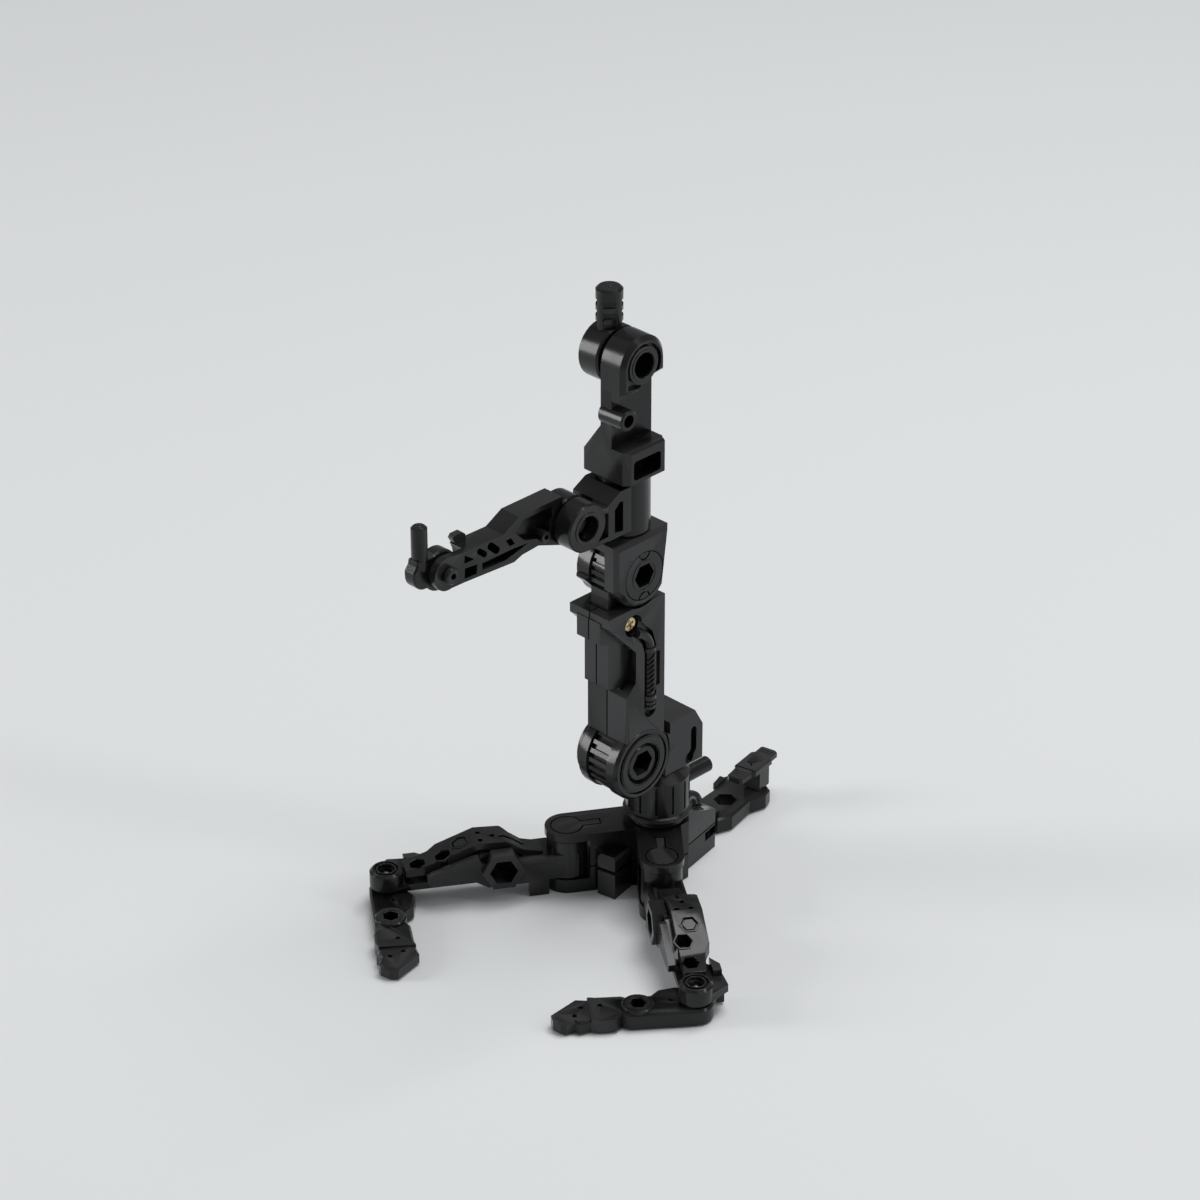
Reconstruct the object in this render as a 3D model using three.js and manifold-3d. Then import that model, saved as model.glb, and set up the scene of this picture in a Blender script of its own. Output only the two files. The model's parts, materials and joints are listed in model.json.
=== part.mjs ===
// Articulated display stand for model figures: a three-armed base with folding claw feet, a turntable,
// a two-hinge column, a swivelling side arm and a tilting head peg. Millimetres, +Z up.
// Origin: on the floor under the turntable axis. X runs along the column's hinge pins.
import * as THREE from 'three';
import { mergeVertices } from 'three/addons/utils/BufferGeometryUtils.js';
import Module from 'manifold-3d';

const wasm = await Module();
wasm.setup();

// ---- driving dimensions -------------------------------------------------------------------------
const GAP = 0.3; // running clearance and moulded seam
const SEAM = GAP / 2; // half a seam on each shell
const ROUND = 32; // sides of a large round
const SMALL = 16; // sides of a small round

const HUB_TOP = 12.6;
const HUB_SEAM = 5.4;
const HUB_HEADING = -79; // the hub's own front, between its two clevis arms
const ARM_HALF = 4.2; // half width of a clevis arm and radius of its round end
const ARM_PLATE = 1.5; // thickness of a clevis arm's upper plate
const FLOOR_PLATE = 2.8; // thickness of its lower plate
const LEG_TOP = 8.0; // top of a leg's tongue

const CUP_BASE = 12.9;
const CUP_TOP = 24.1;
const CUP_RADIUS = 6.1;

const HINGE_A = { y: -9.2, z: 30.0 }; // base of the column
const HINGE_B = { y: -9.5, z: 70.2 }; // middle of the column
const HINGE_C = { y: -9.7, z: 112.7 }; // head
const SWIVEL = { y: -9.5, z: 78.2 }; // top face of the middle yoke
const HINGE_D = { y: -23.8, z: 85.3 }; // root of the side arm
const HINGE_E = { y: -53.8, z: 86.2 }; // tip of the side arm
const BLOCK_BASE = 90.3;
const PEG_TOP = 125.3;

const LEGS = [
  { name: 'left', reach: 17.6, bearing: -122.6, heading: -122.9, foot: -38.5, side: 1 },
  { name: 'front', reach: 14.7, bearing: -42.6, heading: -35.6, foot: -128, side: -1 },
];
const LEG_LENGTH = 34.7;
const TAIL = { reach: 11.6, heading: 101.7 };
const CLIP_HEADING = 101;

// ---- materials ----------------------------------------------------------------------------------
const plastic = (colour, roughness) => () =>
  new THREE.MeshStandardMaterial({ color: colour, roughness, metalness: 0 });
const metal = (colour) => () =>
  new THREE.MeshStandardMaterial({ color: colour, roughness: 0.3, metalness: 1 });
const BLACK = plastic(0x161718, 0.42);
const STEEL = metal(0xb9bcc0);
const BRASS = metal(0xc9ab6a);

// ---- solids -------------------------------------------------------------------------------------
const solidOf = (geometry) => {
  geometry.deleteAttribute('normal');
  geometry.deleteAttribute('uv');
  const merged = mergeVertices(geometry, 1e-4);
  const mesh = new wasm.Mesh({
    numProp: 3,
    vertProperties: new Float32Array(merged.attributes.position.array),
    triVerts: new Uint32Array(merged.index.array),
  });
  return new wasm.Manifold(mesh);
};

// Axes that an outline is extruded along, and the world axes that its own two axes lie on.
const BASES = {
  x: [[0, 1, 0], [0, 0, 1], [1, 0, 0]],
  y: [[1, 0, 0], [0, 0, 1], [0, -1, 0]],
  z: [[1, 0, 0], [0, 1, 0], [0, 0, 1]],
};

// Extrudes a list of [u, v] points from one place on an axis to another, with an optional bevel.
const prism = (axis, points, from, to, bevel = 0) => {
  const shape = new THREE.Shape(points.map(([u, v]) => new THREE.Vector2(u, v)));
  const geometry = new THREE.ExtrudeGeometry(shape, {
    depth: to - from - 2 * bevel,
    bevelEnabled: bevel > 0,
    bevelThickness: bevel,
    bevelSize: bevel,
    bevelOffset: -bevel,
    bevelSegments: 1,
  });
  geometry.translate(0, 0, bevel);
  const columns = BASES[axis].map((column) => new THREE.Vector3(...column));
  const matrix = new THREE.Matrix4().makeBasis(...columns);
  const start = axis === 'y' ? to : from;
  matrix.setPosition(axis === 'x' ? start : 0, axis === 'y' ? start : 0, axis === 'z' ? start : 0);
  return solidOf(geometry.applyMatrix4(matrix));
};

const turn = (degrees) => (degrees * Math.PI) / 180;

// Points on a circle or part of one, centre [u, v], angles in degrees.
const arc = (u, v, radius, start, end, steps) =>
  Array.from({ length: steps + 1 }, (_, i) => {
    const angle = turn(start + ((end - start) * i) / steps);
    return [u + radius * Math.cos(angle), v + radius * Math.sin(angle)];
  });
const circle = (u, v, radius, sides = ROUND, phase = 0) =>
  arc(u, v, radius, phase, phase + 360, sides).slice(0, sides);
const hexagon = (u, v, radius, phase = 0) => circle(u, v, radius, 6, phase);
const rectangle = (u0, v0, u1, v1) => [[u0, v0], [u1, v0], [u1, v1], [u0, v1]];

// A slot with round ends between two points.
const slot = (u0, v0, u1, v1, radius, steps = 8) => {
  const angle = (Math.atan2(v1 - v0, u1 - u0) * 180) / Math.PI;
  return [
    ...arc(u1, v1, radius, angle - 90, angle + 90, steps),
    ...arc(u0, v0, radius, angle + 90, angle + 270, steps),
  ];
};

const disc = (axis, u, v, radius, from, to, sides = ROUND, bevel = 0) =>
  prism(axis, circle(u, v, radius, sides, 180 / sides), from, to, bevel);

// A ring cut out of a face, such as a groove round a boss.
const ring = (axis, u, v, inner, outer, from, to, sides = ROUND) =>
  disc(axis, u, v, outer, from, to, sides).subtract(disc(axis, u, v, inner, from - 1, to + 1, sides));

// A round solid about Z from a list of [radius, height] points, starting and ending on the axis.
const lathe = (profile, sides = ROUND) => {
  const points = profile.map(([r, z]) => new THREE.Vector2(r, z));
  return solidOf(new THREE.LatheGeometry(points, sides).rotateX(Math.PI / 2));
};

const join = (...pieces) => pieces.reduce((whole, piece) => whole.add(piece));
const cut = (whole, ...pieces) => pieces.reduce((rest, piece) => rest.subtract(piece), whole);

// ---- scene graph --------------------------------------------------------------------------------
const group = new THREE.Group();
const place = (parent, x, y, z, heading = 0) => {
  const child = new THREE.Group();
  child.position.set(x, y, z);
  child.rotation.z = turn(heading);
  parent.add(child);
  return child;
};
const add = (parent, name, solid, material = BLACK) => {
  const { vertProperties, triVerts } = solid.getMesh();
  const geometry = new THREE.BufferGeometry();
  geometry.setAttribute('position', new THREE.BufferAttribute(vertProperties, 3));
  geometry.setIndex(new THREE.BufferAttribute(triVerts, 1));
  const mesh = new THREE.Mesh(geometry, material());
  mesh.name = name;
  parent.add(mesh);
};

// ---- hub ----------------------------------------------------------------------------------------
const polar = (radius, degrees) => [radius * Math.cos(turn(degrees)), radius * Math.sin(turn(degrees))];
const turned = (solid, degrees) => solid.rotate([0, 0, degrees]);

const PIVOT_PIN = 2.0; // radius of a leg's pivot pin
const CORE_RADIUS = 6.4;
const TAB_TOP = 8.8; // top of the square tab between the clevis arms
const TAIL_HALF = 4.8; // half width of the rear arm
const TAIL_END = 14.6; // its end, from the turntable axis
const TAIL_MOUTH = { half: 3.4, low: 2.4, high: 4.9, back: 8.4 };
const SPINDLE = 3.2; // radius of the turntable spindle

const lowerHalf = [0, HUB_SEAM - SEAM];
const upperHalf = [HUB_SEAM + SEAM, HUB_TOP];

const clevisArm = (leg, [low, high]) => turned(prism('z', [
  [1, -ARM_HALF], ...arc(leg.reach, 0, ARM_HALF, -90, 90, 14), [1, ARM_HALF],
], low, high), leg.bearing);

// Room between the plates for a leg's tongue as it swings.
const legSweep = (leg) => turned(prism('z', [
  [leg.reach, -12], [leg.reach + 14, -12], [leg.reach + 14, 12], [leg.reach, 12],
  ...arc(leg.reach, 0, 5.6, 90, 270, 12).slice(1, -1),
], FLOOR_PLATE, HUB_TOP - ARM_PLATE), leg.bearing);

// A keyhole-shaped plug line, its tail towards the hub's middle.
const keyhole = (leg, disk, tail) => join(
  disc('z', leg.reach, 0, disk, HUB_TOP - 0.45, HUB_TOP + 1, SMALL),
  prism('z', rectangle(leg.reach - 5.6 - tail, -tail, leg.reach, tail), HUB_TOP - 0.45, HUB_TOP + 1),
);
const keyholeLine = (leg) => turned(keyhole(leg, 3.2, 1.0).subtract(keyhole(leg, 2.9, 0.7)), leg.bearing);

// The rear arm along +Y: its top slopes down to the end, and its end corners are bevelled.
const rearArm = ([low, high]) => {
  const side = prism('x', [
    [2, low], [TAIL_END, low], [TAIL_END, 7.2], [13.2, 8.6], [6.0, 11.6], [2, 12.6],
  ], -6, 6);
  const plan = prism('z', [
    [-TAIL_HALF, 2], [TAIL_HALF, 2], [TAIL_HALF, 13.2],
    [3.4, TAIL_END], [-3.4, TAIL_END], [-TAIL_HALF, 13.2],
  ], low, high);
  return turned(side.intersect(plan), TAIL.heading - 90);
};

const cornerTab = (low, high, bevel) =>
  turned(prism('z', rectangle(2.0, -4.9, 13.0, -1.0), low, high, bevel), HUB_HEADING);

const tailMouth = () => {
  const { half, low, high, back } = TAIL_MOUTH;
  return turned(join(
    prism('z', rectangle(-half, back, half, 17), low, high),
    prism('z', rectangle(-half, 14, half, 17), -1, high),
    prism('x', rectangle(9.6, 3.0, 13.4, high), 3, 6),
    disc('z', 0, TAIL.reach, 1.6, 0.8, 14, SMALL),
    disc('z', 0, TAIL.reach, 2.7, 8.8, 14, SMALL),
  ), TAIL.heading - 90);
};

const pivotBore = (leg) => turned(disc('z', leg.reach, 0, PIVOT_PIN + GAP, 1.2, 11.6, SMALL), leg.bearing);
const spindleBore = () => disc('z', 0, 0, SPINDLE + GAP, 3, HUB_TOP + 1, SMALL);
const hubScrews = [polar(8.1, -100.8), polar(6.0, TAIL.heading)];
const wells = () => hubScrews.map(([x, y]) => disc('z', x, y, 1.7, -1, 1.6, SMALL));

const hub = place(group, 0, 0, 0);
const hubCuts = () => [...LEGS.map(legSweep), ...LEGS.map(pivotBore), spindleBore(), tailMouth()];
add(hub, 'hub_lower_shell', cut(
  join(
    disc('z', 0, 0, CORE_RADIUS, ...lowerHalf, 8), ...LEGS.map((leg) => clevisArm(leg, lowerHalf)),
    rearArm(lowerHalf), cornerTab(...lowerHalf, 0),
  ),
  ...hubCuts(), ...wells(),
));
add(hub, 'hub_upper_shell', cut(
  join(
    disc('z', 0, 0, CORE_RADIUS, ...upperHalf, 8), ...LEGS.map((leg) => clevisArm(leg, upperHalf)),
    rearArm(upperHalf), cornerTab(HUB_SEAM + SEAM, TAB_TOP, 0.5),
  ),
  ...hubCuts(), ...LEGS.map(keyholeLine),
));
LEGS.forEach((leg) => {
  const pin = disc('z', leg.reach, 0, PIVOT_PIN, 1.5, 11.3, SMALL);
  add(hub, `leg_pivot_pin_${leg.name}`, turned(pin, leg.bearing), STEEL);
});
hubScrews.forEach(([x, y], i) => {
  const head = disc('z', x, y, 1.4, 0.4, 1.3, SMALL);
  add(hub, `hub_screw_${i + 1}`, head.subtract(disc('z', x, y, 0.6, 0, 0.9, 6)), STEEL);
});
const spindle = lathe([[0, 3.3], [SPINDLE, 3.3], [SPINDLE, 19.0], [2.6, 19.6], [0, 19.6]], SMALL);
add(hub, 'turntable_spindle', spindle, STEEL);
const dome = lathe([
  [0, 1.1], [1.3, 1.1], [1.3, 9.1], [2.4, 9.1], [2.4, 9.9], [1.9, 10.8], [1.0, 11.2], [0, 11.3],
], SMALL);
const [tailX, tailY] = polar(TAIL.reach, TAIL.heading);
add(hub, 'tail_pivot_pin', dome.translate([tailX, tailY, 0]));

// ---- turntable ----------------------------------------------------------------------------------
const BARREL = 7.4; // radius of the base hinge's cheeks
const KNUCKLE = 7.0; // radius of its ribbed knuckle
const KNUCKLE_HALF = 2.25;
const CHEEK_IN = KNUCKLE_HALF + GAP;
const CHEEK_OUT = 5.1;
const BLOCK_HALF = 4.5;

// Ribs left standing between grooves cut along a knuckle, at steps round its axis.
const ribGrooves = (y, z, radius, half, width, depth, start, end, step) => {
  const grooves = [];
  for (let angle = start; angle <= end; angle += step) {
    const box = prism('x', rectangle(radius - depth, -width / 2, radius + 1, width / 2), -half, half);
    grooves.push(box.rotate([angle, 0, 0]).translate([0, y, z]));
  }
  return grooves;
};

const turntable = place(group, 0, 0, 0);
const buildTurntable = () => {
  const cup = lathe([
    [0, CUP_BASE], [5.6, CUP_BASE], [5.6, 13.9], [6.5, 14.2], [6.5, 15.0], [CUP_RADIUS, 15.3],
    [CUP_RADIUS, 22.4], [4.4, CUP_TOP - GAP], [0, CUP_TOP - GAP],
  ]);
  const flutes = Array.from({ length: 12 }, (_, i) =>
    turned(prism('z', rectangle(CUP_RADIUS - 0.35, -0.25, CUP_RADIUS + 1, 0.25), 15.9, 21.9), i * 30 + 12));
  const stub = disc('y', 0, 18.0, 1.55, 4.0, 13.8, SMALL, 0.35);
  add(turntable, 'turntable_cup', cut(
    join(cup, stub), ...flutes, disc('z', 0, 0, SPINDLE + GAP, 12, 20, SMALL),
  ));

  const { y, z } = HINGE_A;
  const body = prism('x', [
    [-2.6, CUP_TOP], [7.4, CUP_TOP], [7.4, 31.5], [5.3, 35.2], [-1.4, 35.2], [-1.4, 33.0], [-2.6, 33.0],
  ], -BLOCK_HALF, BLOCK_HALF);
  const neck = prism('x', [[y, 24.6], [0, 24.6], [0, 32.6], [y, 32.6]], -KNUCKLE_HALF, KNUCKLE_HALF);
  const knuckle = disc('x', y, z, KNUCKLE, -KNUCKLE_HALF, KNUCKLE_HALF);
  const clearance = [-1, 1].map((side) =>
    disc('x', y, z, BARREL + GAP, ...(side > 0 ? [KNUCKLE_HALF, 6] : [-6, -KNUCKLE_HALF])));
  const slots = [-1, 1].map((side) => {
    const [from, to] = side > 0 ? [BLOCK_HALF - 1, 6] : [-6, 1 - BLOCK_HALF];
    return join(
      prism('x', slot(5.0, 31.0, 5.0, 27.0, 0.75, 6), from, to),
      prism('x', slot(5.0, 27.0, 3.9, 25.4, 0.75, 6), from, to),
      prism('x', slot(4.0, 25.6, 3.8, 25.2, 1.0, 6), from, to),
    );
  });
  const ribs = ribGrooves(y, z, KNUCKLE, 3, 0.95, 0.75, 105, 285, 15);
  add(turntable, 'column_base_block', cut(
    join(cut(body, ...clearance), neck, knuckle), ...ribs, ...slots, disc('x', y, z, 2.9, -6, 6, SMALL),
  ));
};
buildTurntable();

// ---- lower link, about the base hinge -------------------------------------------------------------
const LINK_HALF = 5.0;
const LINK_TOP = 34.0;
const TIER_HALF = 3.0; // half width of the stepped front tiers
const LINK_SCREW = { y: -2.6, z: 30.4 };
const HOSE = { y: 1.9, low: 10.9, high: 23.6, half: 1.55 };
const MIDDLE = { y: HINGE_B.y - HINGE_A.y, z: HINGE_B.z - HINGE_A.z };
const TONGUE = 2.2; // half width of the core's tongue
const TONGUE_RADIUS = 6.0;
const YOKE_ROUND = 6.4; // round bottom of the middle yoke's cheeks

// The outline of the core that the two shells clamp, with an allowance all round.
const coreRoot = (allowance) =>
  rectangle(-6.6 - allowance, 28.8 - allowance, 4.2 + allowance, LINK_TOP + 2);

const linkShell = () => {
  const face = prism('x', [
    [5.6, 4.6], [5.6, LINK_TOP], [-9.0, LINK_TOP], [-9.0, 32.1],
    [-1.9, 24.5], [-1.9, 18.1], [-4.4, 15.6], [-4.4, 5.8],
  ], SEAM, LINK_HALF);
  const tiers = prism('x', [
    [0, 32.6], [-9.2, 32.6], [-9.2, 28.2], [-7.2, 27.4], [-7.2, 18.0], [-4.4, 17.2], [0, 12.0],
  ], SEAM, TIER_HALF);
  const cheek = disc('x', 0, 0, BARREL, CHEEK_IN - 0.6, CHEEK_OUT, ROUND, 0.6)
    .intersect(prism('x', rectangle(-9, -9, 9, 9), CHEEK_IN, 9));
  const { y, low, high, half } = HOSE;
  const channel = join(
    prism('x', slot(y, low, y, high, half), LINK_HALF - 0.9, 7),
    prism('x', slot(y, high, y - 0.9, 26.6, half), LINK_HALF - 0.9, 7),
    prism('x', slot(y - 0.9, 26.6, LINK_SCREW.y, LINK_SCREW.z, half), LINK_HALF - 0.9, 7),
    prism('x', rectangle(y + 1, 15.4, y + 2.5, 22.6), LINK_HALF - 0.5, 7),
  );
  return cut(
    join(face, tiers, cheek),
    disc('x', 0, 0, KNUCKLE + GAP, -1, CHEEK_IN),
    prism('x', rectangle(0, -9, 8, 4.6), -1, CHEEK_IN),
    prism('x', coreRoot(0.2), -1, TONGUE + 0.2),
    ring('x', 0, 0, 5.7, 6.2, CHEEK_OUT - 0.35, 7),
    disc('x', 0, 0, 4.2, CHEEK_OUT - 0.5, 7, SMALL),
    disc('x', 0, 0, 2.9, 0, 7, SMALL),
    disc('x', 0, 0, 4.0, 3.3, 7, SMALL),
    disc('x', LINK_SCREW.y, LINK_SCREW.z, 2.2, 3.0, 7, SMALL),
    disc('x', LINK_SCREW.y, LINK_SCREW.z, 1.1, -1, 7, SMALL),
    channel,
    disc('x', MIDDLE.y, MIDDLE.z, YOKE_ROUND + GAP, TONGUE, 7),
  );
};
const mirroredX = (solid) => solid.mirror([1, 0, 0]);

const link = place(turntable, 0, HINGE_A.y, HINGE_A.z);
const buildLink = () => {
  add(link, 'lower_link_shell_right', linkShell());
  const boss = disc('x', 0, 0, 6.4, -6.4, -4.0, ROUND, 0.5)
    .subtract(disc('x', 0, 0, 3.4, -5.2, 0, SMALL));
  add(link, 'lower_link_shell_left', join(mirroredX(linkShell()), boss));
  const tongue = join(
    disc('x', MIDDLE.y, MIDDLE.z, TONGUE_RADIUS, -TONGUE, TONGUE),
    prism('x', [
      [-6.3, 28.8], [4.2, 28.8], [4.2, 36.0], [MIDDLE.y + 5, MIDDLE.z], [-6.3, MIDDLE.z],
    ], -TONGUE, TONGUE),
  );
  add(link, 'lower_link_core', cut(
    tongue,
    disc('x', MIDDLE.y, MIDDLE.z, 2.9, -6, 6, SMALL),
    disc('x', LINK_SCREW.y, LINK_SCREW.z, 1.1, -6, 6, SMALL),
    ...ribGrooves(MIDDLE.y, MIDDLE.z, TONGUE_RADIUS + 0.3, 3, 0.8, 0.8, 95, 200, 15),
  ));
  const shaft = disc('x', LINK_SCREW.y, LINK_SCREW.z, 0.8, -2.8, 3.4, SMALL);
  const head = disc('x', LINK_SCREW.y, LINK_SCREW.z, 1.55, 3.3, 4.1, SMALL, 0.2);
  const cross = [0, 90].map((angle) =>
    prism('x', rectangle(-0.95, -0.22, 0.95, 0.22), 3.6, 5).rotate([angle + 20, 0, 0])
      .translate([0, LINK_SCREW.y, LINK_SCREW.z]));
  add(link, 'lower_link_screw', cut(join(shaft, head), ...cross), BRASS);
  const pin = join(disc('x', 0, 0, 2.6, -4.8, 3.8, SMALL), disc('x', 0, 0, 3.7, 3.6, 4.9, SMALL, 0.3));
  add(link, 'base_hinge_pin', pin.subtract(prism('x', hexagon(0, 0, 2.6), 1.6, 6)));
};
buildLink();

// ---- middle yoke, about the middle hinge ----------------------------------------------------------
const YOKE_TOP = SWIVEL.z - HINGE_B.z;
const YOKE_HALF = 5.5;
const YOKE_CAP = 4.7; // radius of the hinge cap let into the right cheek
const SWIVEL_PIN = 2.4;

const yoke = place(link, 0, MIDDLE.y, MIDDLE.z);
const buildYoke = () => {
  const outline = [
    [6.7, YOKE_TOP], [-7.3, YOKE_TOP], [-7.3, -1.2], ...arc(0, 0, YOKE_ROUND, 205, 325, 14),
  ];
  const leftCorner = prism('x', rectangle(-9, -1, -3.2, 9), -7, -TONGUE - GAP)
    .subtract(disc('x', 0, 0, YOKE_ROUND, -8, 0));
  add(yoke, 'middle_yoke', cut(
    join(prism('x', outline, -YOKE_HALF, YOKE_HALF, 0.8), disc('x', 0, 0, 5.6, -6.2, -5, ROUND, 0.35)),
    prism('x', rectangle(-9, -9, 9, TONGUE_RADIUS + GAP + 0.1), -TONGUE - GAP, TONGUE + GAP),
    leftCorner,
    disc('x', 0, 0, 2.9, -9, 9, SMALL),
    disc('x', 0, 0, YOKE_CAP + 0.2, 4.2, 9),
    disc('z', 0, 0, SWIVEL_PIN + 0.2, 0, 12, SMALL),
  ));
  const cap = disc('x', 0, 0, YOKE_CAP, 4.4, YOKE_HALF - 0.05);
  const crescents = [-1, 1].map((side) => {
    const moon = disc('x', 0, side * 4.7, 1.5, YOKE_HALF - 0.35, 7, SMALL);
    return moon.subtract(disc('x', 0, side * 4.7, 1.15, 0, 9, SMALL));
  });
  add(yoke, 'middle_hinge_pin', cut(
    join(cap, disc('x', 0, 0, 2.6, -5.2, 4.6, SMALL)),
    ...crescents, prism('x', hexagon(0, 0, 2.45), 2.2, 7),
  ));
  add(yoke, 'swivel_pin', disc('z', 0, 0, SWIVEL_PIN, TONGUE_RADIUS + GAP + 0.1, 25.2, SMALL, 0.3), STEEL);
};
buildYoke();

// ---- side arm bracket, about the column's swivel ---------------------------------------------------
const SLEEVE = 5.0;
const ROOT = { y: HINGE_D.y - SWIVEL.y, z: HINGE_D.z - SWIVEL.z };
const EAR = { from: 1.2, to: 5.3, radius: 4.7 };

const bracket = place(yoke, 0, SWIVEL.y - HINGE_B.y, YOKE_TOP);
const buildBracket = () => {
  const wall = prism('x', [
    [-3, 2.2], [ROOT.y, 2.4], [ROOT.y, ROOT.z + EAR.radius], [-10.8, 9.7], [-9.3, 9.2],
    [-5.7, 11.2], [-3, 11.2],
  ], EAR.from, 5.0);
  const root = prism('x', [[-3, 2.2], [-8.8, 2.2], [-8.8, 9.5], [-5.7, 11.2], [-3, 11.2]], -4.0, 5.0);
  const ear = disc('x', ROOT.y, ROOT.z, EAR.radius, EAR.from, EAR.to, ROUND, 0.3);
  const sleeve = disc('z', 0, 0, SLEEVE, GAP, 11.8, ROUND, 0.3);
  const windows = join(
    prism('x', [[-7.2, 3.3], [-5.1, 3.1], [-5.1, 9.0], [-5.9, 9.2], [-7.2, 7.9]], 2.6, 7),
    prism('x', [[-11.8, 3.2], [-8.8, 3.2], [-8.8, 8.0], [-10.4, 8.4]], 2.6, 7),
  );
  add(bracket, 'side_arm_bracket', cut(
    join(cut(join(wall, root), windows), ear, sleeve),
    disc('x', ROOT.y, ROOT.z, 2.45, 0, 7, SMALL),
    disc('z', 0, 0, SWIVEL_PIN + GAP, -1, 13, SMALL),
  ));
};
buildBracket();

// ---- side arm, about its root pin ------------------------------------------------------------------
const ARM = { from: -3.6, to: 0.9 }; // the arm's width along its pin
const PRONG = -0.6; // inner face of the single prong at the tip
const TIP = { y: HINGE_E.y - HINGE_D.y, z: HINGE_E.z - HINGE_D.z };

const sideArm = place(bracket, 0, ROOT.y, ROOT.z);
const buildSideArm = () => {
  const outline = [
    [-2, 5.6], [-12.7, 5.6], [-16.6, 3.5], [-26.6, 3.7],
    [TIP.y, TIP.z + 3.2], [TIP.y, TIP.z - 3.1], [-26.0, -2.3], [-14.0, -3.0],
    [-12.0, -2.3], [-8.0, -2.0], [-2.0, -4.2],
  ];
  const body = join(
    prism('x', outline, ARM.from, ARM.to), disc('x', 0, 0, 4.7, ARM.from, ARM.to, ROUND, 0.3),
    disc('x', TIP.y, TIP.z, 3.2, PRONG, ARM.to, ROUND),
  );
  const pocket = [-1.3, 3]; // a web is left in the middle of the arm
  const lattice = [
    [[-26.0, 3.0], [-26.1, 1.4], [-23.7, 1.4]],
    [[-26.0, 0.4], [-26.1, -1.6], [-23.2, -1.7], [-22.9, 0.1]],
    [[-21.8, -0.2], [-21.8, -1.6], [-16.0, -1.8], [-13.8, -1.3], [-10.5, -0.5], [-13.8, -0.2]],
    slot(-22.5, 2.5, -21.1, 1.3, 0.55, 5),
    slot(-19.8, 2.5, -18.2, 1.0, 0.7, 5),
    [[-16.0, 2.1], [-14.7, 2.1], [-13.8, 0.6], [-15.1, 0.6]],
  ].map((window) => prism('x', window, ...pocket));
  const relief = prism('x', [
    [-4.6, -1.4], [-11.4, 0.3], [-13.8, 2.8], [-11.6, 4.6], [-4.6, 4.6],
  ], -0.6, 3).subtract(disc('x', 0, 0, 5.4, -9, 9));
  const boss = ring('x', -6.7, -0.6, 0.5, 1.1, -0.8, 1.6, SMALL);
  add(sideArm, 'side_arm', cut(
    join(cut(body, ...lattice, relief), boss),
    disc('x', TIP.y, TIP.z, 5.4, -9, PRONG),
    prism('x', rectangle(-40, -9, TIP.y, 9), -9, PRONG),
    disc('x', 0, 0, 2.45, -9, 9, SMALL), disc('x', TIP.y, TIP.z, 1.3, -9, 9, SMALL),
  ));
  add(sideArm, 'side_arm_root_pin', disc('x', 0, 0, 2.15, -3.4, 3.0, SMALL, 0.3), STEEL);
};
buildSideArm();

const PEG_SHIFT = -3.8; // the peg's axis, from the tip hinge
const tip = place(sideArm, 0, TIP.y, TIP.z);
const buildTip = () => {
  const [from, to] = [ARM.from, PRONG - GAP];
  const middle = (from + to) / 2;
  const knuckle = join(
    disc('x', 0, 0, 3.9, from, to, ROUND, 0.3),
    prism('x', [
      ...arc(-3.4, 0.6, 3.0, 180, 270, 6), [0, -2.4], [0, 3.6], [-5.4, 3.6], [-5.6, 2.6], [-6.4, 1.6],
    ], from, to, 0.3),
    disc('z', middle, PEG_SHIFT, 1.5, 1.0, 9.8, SMALL, 0.4),
  );
  add(tip, 'tip_peg', knuckle.subtract(disc('x', 0, 0, 1.3, -9, 9, SMALL)));
  const shaft = disc('x', 0, 0, 1.0, from + 0.2, 1.4, SMALL);
  const rivet = shaft.add(disc('x', 0, 0, 1.6, 1.2, 2.3, SMALL, 0.2));
  add(tip, 'tip_peg_pin', rivet.subtract(disc('x', 0, 0, 0.6, 0.6, 3, SMALL)));
};
buildTip();

// ---- upper block, about the column's swivel ---------------------------------------------------------
const HEAD = { y: HINGE_C.y - SWIVEL.y, z: HINGE_C.z - BLOCK_BASE };
const HEAD_RADIUS = 5.5;
const HOUSING = { from: -0.8, to: 5.4 };
const PEG_RADIUS = 2.5;
const FRONT = -5.3;
const BACK = 4.9;
const BOX_TOP = 6.5;

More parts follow.
